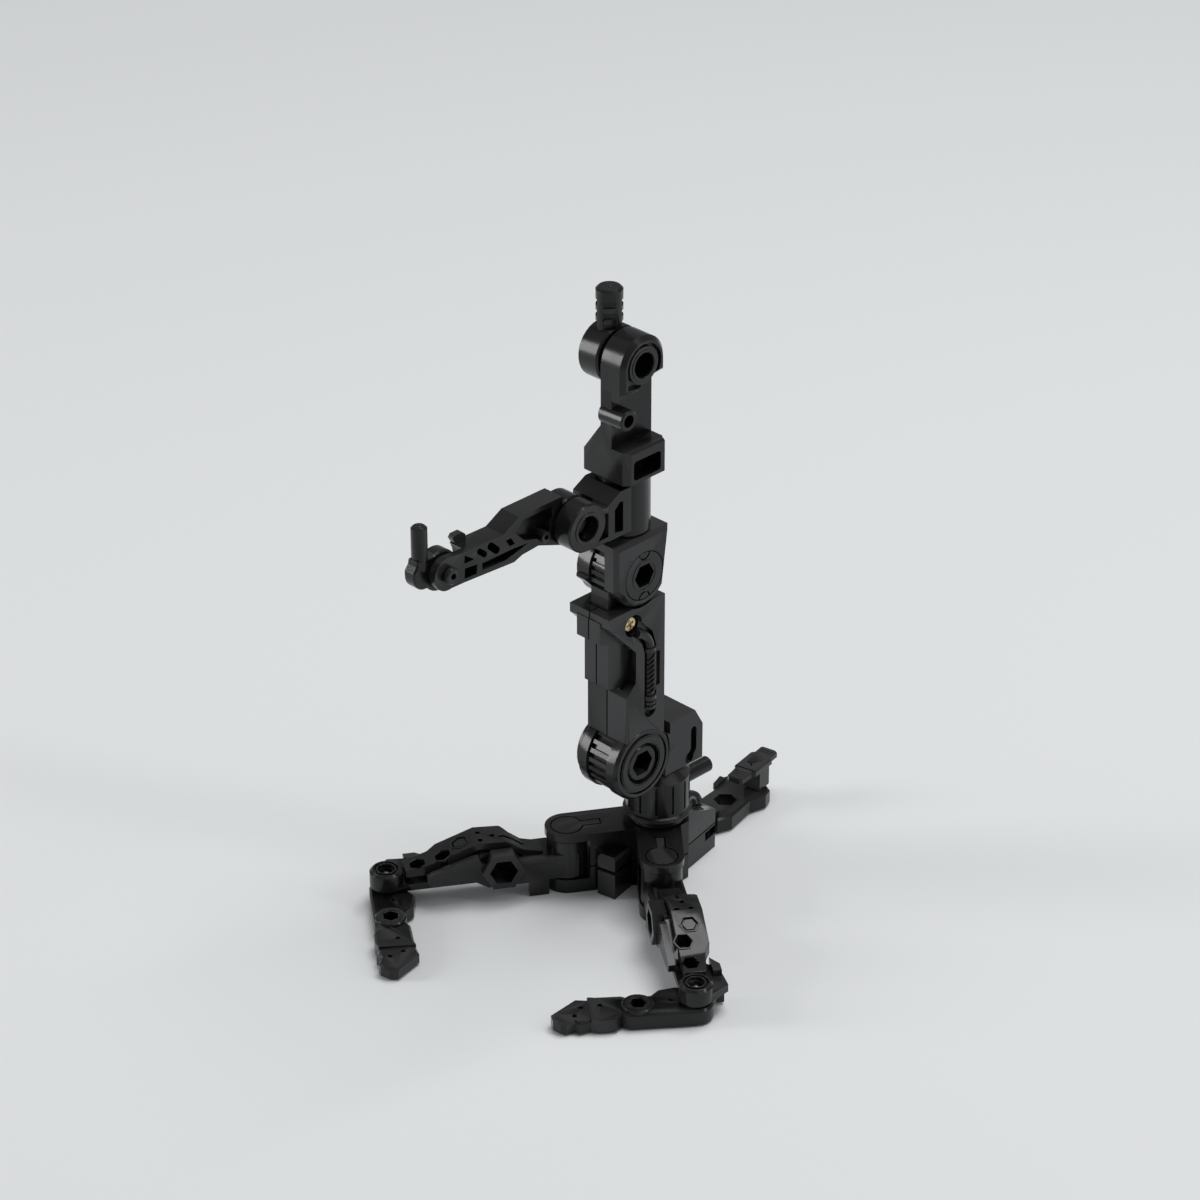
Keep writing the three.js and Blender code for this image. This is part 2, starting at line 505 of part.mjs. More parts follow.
const block = place(yoke, 0, SWIVEL.y - HINGE_B.y, BLOCK_BASE - HINGE_B.z);
const buildBlock = () => {
  const elevation = prism('y', [
    [-4.7, 0], [5.0, 0], [5.0, BOX_TOP], [2.2, BOX_TOP],
    [2.2, HEAD.z], [-0.5, HEAD.z], [-0.5, 10.3], [-4.7, 4.4],
  ], FRONT, BACK);
  const box = prism('z', [[0, FRONT], [5.0, FRONT], [6.1, FRONT + 1.1], [6.1, 4.4], [0, 4.4]], 0, BOX_TOP)
    .intersect(prism('y', [[0, 0], [6.1, 0], [6.1, BOX_TOP - 0.4], [5.7, BOX_TOP], [0, BOX_TOP]], -9, 9));
  const housing = prism('x', [
    ...arc(HEAD.y, HEAD.z, HEAD_RADIUS, 0, 180, 24),
    [HEAD.y - HEAD_RADIUS, 18.0], [-1.5, 17.2], [1.2, 19.3],
    [HEAD.y + HEAD_RADIUS, 19.6],
  ], HOUSING.from, HOUSING.to, 0.8);
  const tube = disc('x', -4.1, 12.7, 2.05, -0.5, HOUSING.to, SMALL, 0.2);
  const window = prism('x', [
    ...arc(2.7, 1.4, 0.7, -90, 0, 4), ...arc(2.7, 3.8, 0.7, 0, 90, 4), ...arc(-2.8, 3.8, 0.7, 90, 180, 4),
    ...arc(-2.8, 1.4, 0.7, 180, 270, 4),
  ], 2.9, 8);
  const recess = join(
    disc('x', HEAD.y, HEAD.z, 4.2, 4.5, 7),
    prism('x', [[-4.3, HEAD.z], [-4.3, 18.6], [-1.8, 18.3], [0, HEAD.z]], 4.5, 7),
  );
  add(block, 'upper_block', cut(
    join(elevation, box, housing, tube), window, recess,
    disc('x', HEAD.y, HEAD.z, HEAD_RADIUS + GAP, -9, HOUSING.from),
    disc('x', HEAD.y, HEAD.z, 3.3, -9, 9, SMALL),
    disc('x', -4.1, 12.7, 1.2, 0.5, 9, SMALL),
    disc('z', 0, 0, SWIVEL_PIN + GAP, -1, 5.6, SMALL),
  ));
};
buildBlock();

const head = place(block, 0, HEAD.y, HEAD.z);
const buildHead = () => {
  const [from, to] = [-6.0, HOUSING.from - GAP];
  const middle = -3.35;
  const pegHeight = PEG_TOP - HINGE_C.z;
  const peg = disc('z', middle, 0, PEG_RADIUS, 4.4, pegHeight, ROUND, 0.45);
  const notches = [];
  for (const rise of [0, 1, 2]) {
    for (const heading of [-45, 45, 135, 225]) {
      const low = pegHeight - 7.6 + rise * 2.1;
      const box = prism('z', rectangle(PEG_RADIUS - 0.4, -1.15, 3, 1.15), low, low + 1.2);
      notches.push(turned(box, heading).translate([middle, 0, 0]));
    }
  }
  const knuckle = disc('x', 0, 0, HEAD_RADIUS, from, to, ROUND, 0.35);
  add(head, 'head_peg', cut(join(knuckle, peg), ...notches, disc('x', 0, 0, 3.3, -9, 9, SMALL)));
  const tube = disc('x', 0, 0, 3.0, from + 0.2, 4.9, SMALL).add(disc('x', 0, 0, 3.6, 4.8, 5.3, ROUND));
  add(head, 'head_hinge_tube', tube.subtract(disc('x', 0, 0, 2.4, -9, 9, SMALL)));
};
buildHead();

// ---- legs and claw feet -------------------------------------------------------------------------------
const PLATE = { from: 2.4, to: 3.7 }; // a leg's inner side plate
const BEAM_LOW = 3.7;
const ANKLE = 3.15;
const FOOT_TOP = 3.4;
const TOE_TOP = 2.7;
const FOOT_SOCKET = { x: 10.6, radius: 3.0, hole: 1.6 };
const HEX_BOSS = { x: 13.0, z: 6.6, radius: 4.1, hole: 2.7 };

const legFrame = () => {
  const knuckle = disc('z', 0, 0, 3.9, FLOOR_PLATE + GAP, HUB_TOP - ARM_PLATE - GAP, ROUND);
  const tongue = prism('z', rectangle(0, -3.6, 9.0, PLATE.from + 0.2), FLOOR_PLATE + GAP, LEG_TOP);
  const plate = prism('y', [
    [-1.5, 3.3], [4.2, 3.3], [4.2, 0], [7.9, 0], [7.9, 3.0], [15.8, 3.0],
    [18.4, 4.6], [26.4, 4.6], [27.4, 5.2], [27.4, 6.6], [26.4, 7.2],
    [18.6, 9.8], [17.6, 9.8], [17.0, 8.2], [-1.5, 8.2],
  ], PLATE.from, PLATE.to);
  const { x, z, radius, hole } = HEX_BOSS;
  const boss = prism('y', hexagon(x, z, radius), PLATE.from - 0.6, PLATE.to + 0.9);
  const beam = prism('y', [
    [6, BEAM_LOW], [LEG_LENGTH, BEAM_LOW], [LEG_LENGTH, 5.0], [6, 5.6],
  ], -2.9, PLATE.from + 0.2);
  const spine = prism('y', [
    [9.2, 5.0], [25.8, 5.0], [25.4, 5.8], [17.0, 9.7], [12.4, 9.5], [10.5, 8.2], [9.2, 7.6],
  ], -2.4, PLATE.from + 0.1);
  const ankle = disc('z', LEG_LENGTH, 0, ANKLE, BEAM_LOW, 7.5, ROUND, 0.45);
  const fin = prism('z', [
    [25.8, -3.0], [28.6, -5.6], [33.6, -6.2], [36.4, -2.6], [31.2, -2.0], [31.2, -3.0],
  ], 4.0, 5.6);
  const finTab = prism('z', rectangle(29.6, -5.9, 31.6, -4.5), 0.4, 4.4);
  const finBlock = prism('z', [[26.2, -4.0], [28.4, -5.6], [30.6, -5.6], [30.6, -4.0]], 4.4, 6.8);
  return cut(
    join(knuckle, tongue, plate, boss, beam, spine, ankle, fin, finTab, finBlock),
    disc('z', 0, 0, PIVOT_PIN + GAP, 0, 20, SMALL),
    prism('y', hexagon(x, z, hole), 0, 9),
    ring('z', LEG_LENGTH, 0, 1.9, 2.35, 7.1, 9),
    disc('z', LEG_LENGTH, 0, 1.25, 0, 9, SMALL),
    disc('z', LEG_LENGTH, 0, 1.6, 6.9, 9, SMALL),
  );
};

const legCover = () => {
  const side = prism('y', [
    [4.9, 8.4], [8.6, 9.2], [10.2, 10.4], [12.0, 11.4], [17.3, 11.7], [26.8, 8.1], [31.2, 7.3],
    [31.2, 5.9], [26.0, 5.9], [17.0, 10.1], [12.4, 9.9], [10.4, 8.6], [8.6, 8.0], [4.9, 8.0],
  ], -4.4, PLATE.from - 0.9);
  const plan = prism('z', [
    [4.9, -2.4], [10.6, -2.8], [12.4, -4.4], [24.6, -4.4], [26.2, -3.4], [31.2, -2.6],
    [31.2, 1.5], [4.9, 1.5],
  ], 5, 14);
  const sockets = [[23.9, 0.3], [28.7, -0.2]].map(([x, y]) => prism('z', hexagon(x, y, 1.6, 30), 4, 14));
  const plaque = ring('z', 20.4, -1.4, 1.25, 1.6, 4, 14, 6)
    .intersect(prism('y', [[15, 11.5], [18, 11.1], [25, 8.3], [25, 14], [15, 14]], -9, 9));
  const dimples = [[16.7, -2.4], [14.2, -1.1], [16.7, 0.3]].map(([x, y]) =>
    disc('z', x, y, 0.5, 10.9, 14, 8));
  const above = [[4, 8.4], [8.6, 8.8], [10.2, 10.0], [12.0, 11.0], [14, 11.1], [14, 14], [4, 14]];
  const groove = prism('z', slot(8.6, -0.6, 12.8, -0.6, 0.35, 4), 8.6, 14)
    .intersect(prism('y', above, -9, 9));
  return cut(side.intersect(plan), ...sockets, plaque, groove, ...dimples);
};

const foot = () => {
  const heel = prism('z', [
    ...arc(0, 0, 3.3, 100, 260, 12), [2.4, -3.3], [12.2, -3.1], [13.6, -2.2], [15.0, -3.5], [18.0, -3.5],
    [19.4, -2.9], [19.4, 4.0], [18.0, 3.7], [13.2, 3.5], [12.2, 2.9], [8.0, 3.0], [6.4, 4.6], [3.0, 5.2],
    [0.8, 3.6],
  ], 0, FOOT_TOP, 0.4);
  const toe = prism('z', [
    [17.6, -3.0], [19.4, -2.9], [21.3, -3.5], [22.4, -2.7], [23.9, -3.3], [25.0, -3.0], [26.2, -1.6],
    [26.4, 0.2], [21.6, 4.4], [17.6, 3.6],
  ], 0, TOE_TOP, 0.4);
  const { x, radius, hole } = FOOT_SOCKET;
  const socket = disc('z', x, 0, radius, FOOT_TOP - 1, FOOT_TOP + 0.5, ROUND, 0.25);
  const pits = [[17.4, 0.8, FOOT_TOP], [20.8, 1.5, TOE_TOP], [22.2, -1.0, TOE_TOP]].map(([u, v, top]) =>
    disc('z', u, v, 0.5, top - 0.4, 9, 8));
  return cut(
    join(heel, toe, socket), ...pits, prism('z', hexagon(x, 0, hole), 1.4, 9),
    disc('z', 4.5, 0.8, 0.75, FOOT_TOP - 0.4, 9, 3),
    disc('z', 0, 0, 1.25, 0.8, 9, SMALL),
  );
};

// Pieces are drawn for a leg whose inner side is +Y, and mirrored for the other one.
const handed = (leg, solid) => (leg.side > 0 ? solid : solid.mirror([0, 1, 0]));
LEGS.forEach((leg) => {
  const limb = place(hub, ...polar(leg.reach, leg.bearing), 0, leg.heading);
  add(limb, `leg_frame_${leg.name}`, handed(leg, legFrame()));
  add(limb, `leg_cover_${leg.name}`, handed(leg, legCover()));
  const screw = disc('z', 0, 0, 0.95, 1.1, 6.2, SMALL);
  const cross = prism('z', rectangle(-0.7, -0.16, 0.7, 0.16), 5.9, 8);
  const ankle = place(limb, LEG_LENGTH, 0, 0);
  add(ankle, `ankle_screw_${leg.name}`, cut(screw, cross, turned(cross, 90)), STEEL);
  const toe = place(limb, LEG_LENGTH, 0, 0, leg.foot - leg.heading);
  add(toe, `claw_foot_${leg.name}`, handed(leg, foot()));
});

// ---- tail link and its clip plate ---------------------------------------------------------------------
const CLIP_POST = { x: 19.6, y: -2.6, radius: 1.0 };

const tail = place(hub, tailX, tailY, 0, TAIL.heading);
const buildTail = () => {
  const { low, high } = TAIL_MOUTH;
  const tongue = join(
    disc('z', 0, 0, 2.5, low + GAP, high - GAP, SMALL),
    prism('z', rectangle(0, -2.4, 7.0, 2.4), low + GAP, high - GAP),
  );
  const body = prism('z', [
    [5.4, -3.0], [8.2, -4.6], [15.0, -4.4], [18.4, -6.0], [20.6, -5.6],
    [22.2, -3.6], [22.2, 2.0], [20.2, 4.2],
    [17.4, 5.2], [14.6, 3.6], [8.2, 4.2], [5.4, 3.0],
  ], 0, FOOT_TOP, 0.4);
  const fin = prism('z', [
    [15.4, 3.2], [18.4, 3.2], [18.4, 4.6], [15.4, 4.2],
  ], FOOT_TOP - 1, FOOT_TOP + 0.8, 0.2);
  add(tail, 'tail_link', cut(
    join(tongue, body, fin),
    disc('z', 0, 0, 1.6, 0, 9, SMALL),
    prism('z', hexagon(12.4, -0.4, 2.3, 0), -1, 9),
    disc('z', CLIP_POST.x, CLIP_POST.y, CLIP_POST.radius + GAP, 0.8, 9, SMALL),
  ));
};
buildTail();

const clip = place(tail, CLIP_POST.x, CLIP_POST.y, 0, CLIP_HEADING - TAIL.heading);
const buildClip = () => {
  const pin = disc('z', 0, 0, CLIP_POST.radius, 1.0, 4, SMALL);
  const post = pin.add(prism('z', rectangle(-1.2, -2.0, 2.2, 1.6), FOOT_TOP + GAP, 8.2));
  const plate = prism('z', [
    [-7.5, -1.2], [-7.1, -1.7], [-4.0, -1.9], [-3.4, -2.45],
    [2.4, -2.45], [3.0, -1.9], [5.2, -1.9], [5.6, -1.4],
    [5.6, 1.4], [5.2, 1.9], [3.0, 1.9], [2.4, 2.45],
    [-3.4, 2.45], [-4.0, 1.9], [-7.1, 1.7], [-7.5, 1.2],
  ], 7.9, 9.35, 0.25);
  const mark = [90, 210, 330].map((angle) =>
    turned(prism('z', rectangle(0, -0.15, 1.0, 0.15), 9.0, 10), angle).translate([-1.2, 0, 0]));
  const step = prism('z', rectangle(-3.7, -3, -3.3, 3), 9.1, 10);
  add(clip, 'clip_plate', cut(join(post, plate), ...mark, step));
};
buildClip();

export default group;
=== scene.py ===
"""Looks of an articulated display stand for model figures: black satin plastic with a few metal screws.

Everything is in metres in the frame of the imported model: +Z up, the column's hinge pins along X and the
two legs towards -Y. The CAD nodes keep their shapes and get bevels and materials here, and small moulded
details ride on them. Sizes of the details are in millimetres.
"""

import json
import math

import bmesh
import bpy
from mathutils import Matrix, Vector
from mathutils.geometry import interpolate_bezier


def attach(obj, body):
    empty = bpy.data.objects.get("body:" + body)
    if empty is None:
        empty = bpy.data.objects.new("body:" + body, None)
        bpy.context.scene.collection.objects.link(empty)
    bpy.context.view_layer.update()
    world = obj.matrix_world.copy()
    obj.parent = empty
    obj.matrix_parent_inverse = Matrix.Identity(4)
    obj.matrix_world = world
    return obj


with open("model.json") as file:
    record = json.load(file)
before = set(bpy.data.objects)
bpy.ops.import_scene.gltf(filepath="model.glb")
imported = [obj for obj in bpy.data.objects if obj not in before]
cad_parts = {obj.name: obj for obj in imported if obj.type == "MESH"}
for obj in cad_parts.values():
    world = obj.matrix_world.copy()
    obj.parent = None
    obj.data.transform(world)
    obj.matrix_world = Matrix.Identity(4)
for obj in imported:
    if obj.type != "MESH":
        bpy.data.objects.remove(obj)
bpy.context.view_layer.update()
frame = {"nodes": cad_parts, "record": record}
MM = 0.001


# ---- camera, light and floor --------------------------------------------------------------------------
CAMERA_AZIMUTH = 44.81
CAMERA_PITCH = 29.42
CAMERA_DEPTH = 858.9 * MM  # of the model's origin
CAMERA_RIGHT = 10.88 * MM  # the origin lies this far right of the line of sight
CAMERA_BELOW = 51.52 * MM  # and this far below it
LENS = 135.0
SENSOR_WIDTH = 36.0

SKY_COLOUR = (0.965, 0.985, 1.0, 1.0)
SKY_STRENGTH = 0.25
STAND_MIDDLE = (0.0, -0.01, 0.05)
SOFTBOXES = (  # name, place, point aimed at, width and height, power
    ("key_softbox", (-0.72, -0.78, 0.30), (0.0, -0.01, 0.08), (0.30, 0.55), 5.4),
    ("top_softbox", (0.10, 0.30, 1.15), STAND_MIDDLE, (0.7, 0.7), 9.4),
    ("rim_strip", (0.75, 0.35, 0.55), STAND_MIDDLE, (0.12, 0.6), 1.3),
)

FLOOR_COLOUR = (0.72, 0.735, 0.745, 1.0)
FLOOR_SIZE = 6.0
FLOOR_DROP = 0.1 * MM  # keeps the floor clear of the flat underside


def add_camera():
    data = bpy.data.cameras.new("camera")
    data.lens = LENS
    data.sensor_width = SENSOR_WIDTH
    data.clip_start = 0.01
    data.clip_end = 50.0
    camera = bpy.data.objects.new("camera", data)
    turn = Matrix.Rotation(math.radians(CAMERA_AZIMUTH), 4, "Z") @ Matrix.Rotation(
        math.radians(90.0 - CAMERA_PITCH), 4, "X"
    )
    seen_at = Vector((CAMERA_RIGHT, -CAMERA_BELOW, -CAMERA_DEPTH))
    camera.matrix_world = Matrix.Translation(-(turn.to_3x3() @ seen_at)) @ turn
    bpy.context.scene.collection.objects.link(camera)
    bpy.context.scene.camera = camera


def add_area(name, place, aim, size, power):
    light = bpy.data.lights.new(name, "AREA")
    light.shape = "RECTANGLE"
    light.size, light.size_y = size
    light.energy = power
    obj = bpy.data.objects.new(name, light)
    obj.location = Vector(place)
    obj.rotation_euler = (Vector(aim) - obj.location).to_track_quat("-Z", "Y").to_euler()
    bpy.context.scene.collection.objects.link(obj)


def add_lights():
    world = bpy.data.worlds.new("studio")
    bpy.context.scene.world = world
    world.use_nodes = True
    background = world.node_tree.nodes["Background"]
    background.inputs["Color"].default_value = SKY_COLOUR
    background.inputs["Strength"].default_value = SKY_STRENGTH
    for softbox in SOFTBOXES:
        add_area(*softbox)


def add_floor():
    material, _, shader = new_material("backdrop")
    shader.inputs["Base Color"].default_value = FLOOR_COLOUR
    shader.inputs["Roughness"].default_value = 0.9
    shader.inputs["Specular IOR Level"].default_value = 0.1
    mesh = bpy.data.meshes.new("floor")
    form = bmesh.new()
    bmesh.ops.create_grid(form, x_segments=1, y_segments=1, size=FLOOR_SIZE)
    form.to_mesh(mesh)
    form.free()
    floor = bpy.data.objects.new("floor", mesh)
    floor.location.z = -FLOOR_DROP
    floor.data.materials.append(material)
    bpy.context.scene.collection.objects.link(floor)


# ---- materials ----------------------------------------------------------------------------------------
PLASTIC_DARK = (0.0028, 0.0029, 0.0030)
PLASTIC_LIGHT = (0.0042, 0.0042, 0.0042)
# lighter colour for convex edges: partly wear, partly a painted highlight of the bright thin edges
PLASTIC_EDGE_WEAR_AND_HIGHLIGHT = (0.03, 0.03, 0.031)
PLASTIC_POLISH = 0.08  # how much less rough the convex edges are, whose lighter colour is partly wear and partly a painted highlight
METAL_STAIN = 0.72  # brightness of the darker patches


def new_material(name):
    material = bpy.data.materials.new(name)
    material.use_nodes = True
    shader = material.node_tree.nodes["Principled BSDF"]
    return material, material.node_tree.links, shader


def noise_of(material, scale, detail, stretch=(1.0, 1.0, 1.0)):
    """A noise texture in the object's own space, with features of about 1/scale metres."""
    nodes, links = material.node_tree.nodes, material.node_tree.links
    place = nodes.new("ShaderNodeTexCoord")
    mapping = nodes.new("ShaderNodeMapping")
    mapping.inputs["Scale"].default_value = stretch
    noise = nodes.new("ShaderNodeTexNoise")
    noise.inputs["Scale"].default_value = scale
    noise.inputs["Detail"].default_value = detail
    links.new(place.outputs["Object"], mapping.inputs["Vector"])
    links.new(mapping.outputs["Vector"], noise.inputs["Vector"])
    return noise.outputs["Fac"]


def ramp_of(material, source, stops):
    """A colour ramp with stops of (position, grey or colour)."""
    ramp = material.node_tree.nodes.new("ShaderNodeValToRGB")
    elements = ramp.color_ramp.elements
    while len(elements) < len(stops):
        elements.new(0.5)
    for element, (position, value) in zip(elements, stops):
        element.position = position
        colour = value if isinstance(value, tuple) else (value, value, value)
        element.color = (*colour, 1.0)
    material.node_tree.links.new(source, ramp.inputs["Fac"])
    return ramp.outputs["Color"]


def bump_of(material, height, strength, distance, below=None):
    bump = material.node_tree.nodes.new("ShaderNodeBump")
    bump.inputs["Strength"].default_value = strength
    bump.inputs["Distance"].default_value = distance
    material.node_tree.links.new(height, bump.inputs["Height"])
    if below is not None:
        material.node_tree.links.new(below, bump.inputs["Normal"])
    return bump.outputs["Normal"]


def mixed(material, factor, texture, colour):
    """A texture that gives way to a plain colour where the factor is high."""
    mix = material.node_tree.nodes.new("ShaderNodeMix")
    mix.data_type = "RGBA"
    material.node_tree.links.new(factor, mix.inputs["Factor"])
    material.node_tree.links.new(texture, mix.inputs["A"])
    mix.inputs["B"].default_value = (*colour, 1.0)
    return mix.outputs["Result"]


def black_plastic(name, roughness):
    """Injection-moulded ABS: fine spark-eroded grain, slow changes of gloss, edges polished by handling; the
    lighter colour on convex edges is partly wear and partly a painted highlight.
    """
    material, links, shader = new_material(name)
    slow = noise_of(material, scale=90.0, detail=3.0)
    fine = noise_of(material, scale=2600.0, detail=2.0)
    flow = noise_of(material, scale=240.0, detail=5.0, stretch=(1.0, 1.0, 0.25))
    geometry = material.node_tree.nodes.new("ShaderNodeNewGeometry")
    # convex edges found by pointiness get a lighter colour, partly wear and partly painted highlight, and
    # lower roughness
    edge_wear_and_highlight = ramp_of(material, geometry.outputs["Pointiness"], [(0.5, 0.0), (0.58, 1.0)])
    base = ramp_of(material, slow, [(0.3, PLASTIC_DARK), (0.7, PLASTIC_LIGHT)])
    links.new(mixed(material, edge_wear_and_highlight, base, PLASTIC_EDGE_WEAR_AND_HIGHLIGHT), shader.inputs["Base Color"])
    gloss = ramp_of(material, flow, [(0.3, roughness - 0.05), (0.75, roughness + 0.08)])
    polished = (roughness - PLASTIC_POLISH,) * 3
    links.new(mixed(material, edge_wear_and_highlight, gloss, polished), shader.inputs["Roughness"])
    shader.inputs["IOR"].default_value = 1.53
    shader.inputs["Specular IOR Level"].default_value = 0.27
    waves = bump_of(material, slow, strength=0.08, distance=0.4 * MM)
    grain = bump_of(material, fine, strength=0.22, distance=0.06 * MM, below=waves)
    links.new(grain, shader.inputs["Normal"])
    return material


def metal(name, colour, roughness):
    """Plated metal: fine level scratches, a few darker patches and slightly uneven gloss."""
    material, links, shader = new_material(name)
    scratches = noise_of(material, scale=700.0, detail=4.0, stretch=(1.0, 1.0, 8.0))
    stain = noise_of(material, scale=300.0, detail=3.0)
    dark = tuple(METAL_STAIN * value for value in colour)
    links.new(ramp_of(material, stain, [(0.35, dark), (0.65, colour)]), shader.inputs["Base Color"])
    gloss = ramp_of(material, scratches, [(0.3, roughness - 0.07), (0.7, roughness + 0.12)])
    links.new(gloss, shader.inputs["Roughness"])
    shader.inputs["Metallic"].default_value = 1.0
    normal = bump_of(material, scratches, strength=0.2, distance=0.04 * MM)
    links.new(normal, shader.inputs["Normal"])
    return material


# ---- CAD nodes ----------------------------------------------------------------------------------------
BEVEL = 0.16 * MM
BEVEL_ANGLE = 26.0  # a gentler fold is a facet of a curve, and stays
WELD = 0.002 * MM


def soften(obj, width=BEVEL):
    """Moulded edge radii: small bevels with shading that keeps flat faces flat."""
    for polygon in obj.data.polygons:
        polygon.use_smooth = True
    if "custom_normal" in obj.data.attributes:
        obj.data.attributes.remove(obj.data.attributes["custom_normal"])
    weld = obj.modifiers.new("weld", "WELD")
    weld.merge_threshold = WELD
    bevel = obj.modifiers.new("edges", "BEVEL")
    bevel.width = width
    bevel.segments = 2
    bevel.limit_method = "ANGLE"
    bevel.angle_limit = math.radians(BEVEL_ANGLE)
    bevel.harden_normals = True
    normals = obj.modifiers.new("normals", "WEIGHTED_NORMAL")
    normals.keep_sharp = True
    normals.weight = 60


def dress_nodes():
    """Gives each CAD node the material that its record names, and soft edges."""
    slots = {entry["node"]: entry["material_slot"] for entry in frame["record"]["subparts"]}
    for name, obj in frame["nodes"].items():
        obj.data.materials.clear()
        obj.data.materials.append(MATERIALS[slots[name]])
        soften(obj)


# ---- mesh tools for the moulded details ---------------------------------------------------------------
# Each builds in millimetres about a body's pivot; the matrix takes it to metres in the model's frame.
DETAIL_BEVEL = 0.05 * MM
X_AXIS = Vector((1, 0, 0))


def about(pivot, heading=0.0, side=1):
    """A pivot's own frame, turned to a heading; side -1 mirrors it across its length."""
    return (
        Matrix.Translation(Vector(pivot))
        @ Matrix.Rotation(math.radians(heading), 4, "Z")
        @ Matrix.Diagonal((MM, side * MM, MM, 1.0))
    )


def facing_x(side):
    """Puts local Z on the X axis, or on -X for side -1."""
    return Matrix.Rotation(math.radians(90.0 * side), 4, "Y")


def on_slope(x, y, slope):
    """A place on a face that slopes down along X."""
    edge_x, edge_z, fall, run = slope
    z = edge_z - fall / run * (x - edge_x)
    return Matrix.Translation((x, y, z)) @ Matrix.Rotation(math.atan2(fall, run), 4, "Y")


def on_ground(point):
    return Vector((point.x, point.y, 0.0))


def heading_of(way):
    return math.degrees(math.atan2(way.y, way.x))


def round_points(radius, sides, phase=0.0):
    angles = [math.radians(phase) + math.tau * i / sides for i in range(sides)]
    return [(radius * math.cos(angle), radius * math.sin(angle)) for angle in angles]


def add_loop(form, outline, z, matrix):
    return [form.verts.new(matrix @ Vector((u, v, z))) for u, v in outline]


def bridge(form, loops):
    """Quads between each loop of vertices and the next."""
    for first, second in zip(loops, loops[1:]):
        for i in range(len(first)):
            j = (i + 1) % len(first)
            form.faces.new((first[i], first[j], second[j], second[i]))


def bridge_capped(form, loops):
    """The same, with a face over each end."""
    bridge(form, loops)
    form.faces.new(loops[0][::-1])
    form.faces.new(loops[-1])


def add_plate(form, outline, low, high, matrix):
    bridge_capped(form, [add_loop(form, outline, z, matrix) for z in (low, high)])


def add_band(form, inner, outer, low, high, matrix):
    """A closed band between two outlines with as many points."""
    corners = ((outer, low), (outer, high), (inner, high), (inner, low))
    loops = [add_loop(form, outline, z, matrix) for outline, z in corners]
    bridge(form, loops + loops[:1])


def add_ring(form, inner, outer, low, high, matrix, sides=48):
    add_band(form, round_points(inner, sides), round_points(outer, sides), low, high, matrix)


def add_dome(form, radius, height, low, matrix):
    """A shallow dome on a short wall that is let into the face below."""
    sides = 24
    steps = 4
    loops = [add_loop(form, round_points(radius, sides), low, matrix)]
    for i in range(steps):
        angle = math.pi / 2 * i / steps
        outline = round_points(radius * math.cos(angle), sides)
        loops.append(add_loop(form, outline, height * math.sin(angle), matrix))
    bridge_capped(form, loops)


def add_tube(form, path, radius, across, matrix, closed=False, sides=12):
    """A round tube along a flat path, whose plane's normal is across."""
    loops = []
    for i, point in enumerate(path):
        ahead = path[(i + 1) % len(path)] if closed or i + 1 < len(path) else point
        behind = path[i - 1] if closed or i > 0 else point
        aside = (ahead - behind).normalized().cross(across)
        loops.append([
            form.verts.new(matrix @ (point + u * across + v * aside)) for u, v in round_points(radius, sides)
        ])
    if closed:
        bridge(form, loops + loops[:1])
    else:
        bridge_capped(form, loops)


def finish_piece(name, form, body, slot="black_plastic"):
    bmesh.ops.recalc_face_normals(form, faces=form.faces)
    mesh = bpy.data.meshes.new(name)
    form.to_mesh(mesh)
    form.free()
    mesh.materials.append(MATERIALS[slot])
    obj = bpy.data.objects.new(name, mesh)
    bpy.context.scene.collection.objects.link(obj)
    soften(obj, DETAIL_BEVEL)
    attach(obj, body)


# ---- moulded details ----------------------------------------------------------------------------------
JOINT_AT = {joint["name"]: Vector(joint["pos_m"]) for joint in frame["record"]["behaviour"]["joints"]}
MOUNT_AT = {mount["name"]: mount["pos_m"] for mount in frame["record"]["mounts"]}
LET_IN = 0.3  # how deep the foot of a raised line lies under the face
PROUD = 0.16  # and how far the line stands above it

HOSE_SIDES = {"right": 1, "left": -1}
HOSE_X = 4.6  # depth of the hose's axis in its channel
HOSE_Y = 1.9  # where its straight stretch runs
HOSE_END = 11.4  # the lower end of that stretch
HOSE_BEND = ((-1.5, 28.3), (0.3, 27.4), (HOSE_Y, 26.3), (HOSE_Y, 23.6))  # Bezier points (y, z) above it
BEND_POINTS = 12
HOSE_RADIUS = 1.0
HOSE_COLLARS = (  # low, high, radius
    (13.2, 14.1, 1.38),
    (12.3, 12.8, 1.24),
    (11.3, 11.9, 1.3),
    (23.4, 24.2, 1.3),
)
WINDING_TURNS = 8
WINDING_LOW = 15.3  # height of the lowest turn
WINDING_STEP = 1.0
WINDING_RADIUS = 1.12
WINDING_LEAN = math.radians(38.0)
WIRE_RADIUS = 0.27

HINGE_RIMS = (  # name, joint, body, side (1 faces +X), inner and outer radius, low, high
    ("base_hinge_rim_right", "base_tilt", "lower_link", 1, 4.35, 5.45, 4.8, 5.24),
    ("base_hinge_rim_left", "base_tilt", "lower_link", -1, 3.4, 4.6, 6.1, 6.54),
    ("middle_cap_rim", "middle_tilt", "middle_yoke", 1, 2.75, 3.05, 5.2, 5.56),
    ("middle_boss_rim", "middle_tilt", "middle_yoke", -1, 2.9, 3.9, 6.0, 6.3),
    ("bracket_ear_rim", "side_arm_swing", "arm_bracket", 1, 2.55, 3.1, 5.1, 5.45),
    ("head_tube_lip", "head_tilt", "head", 1, 2.5, 3.0, 5.1, 5.42),
    ("head_knuckle_rim", "head_tilt", "head", -1, 3.4, 4.4, 5.8, 6.15),
)

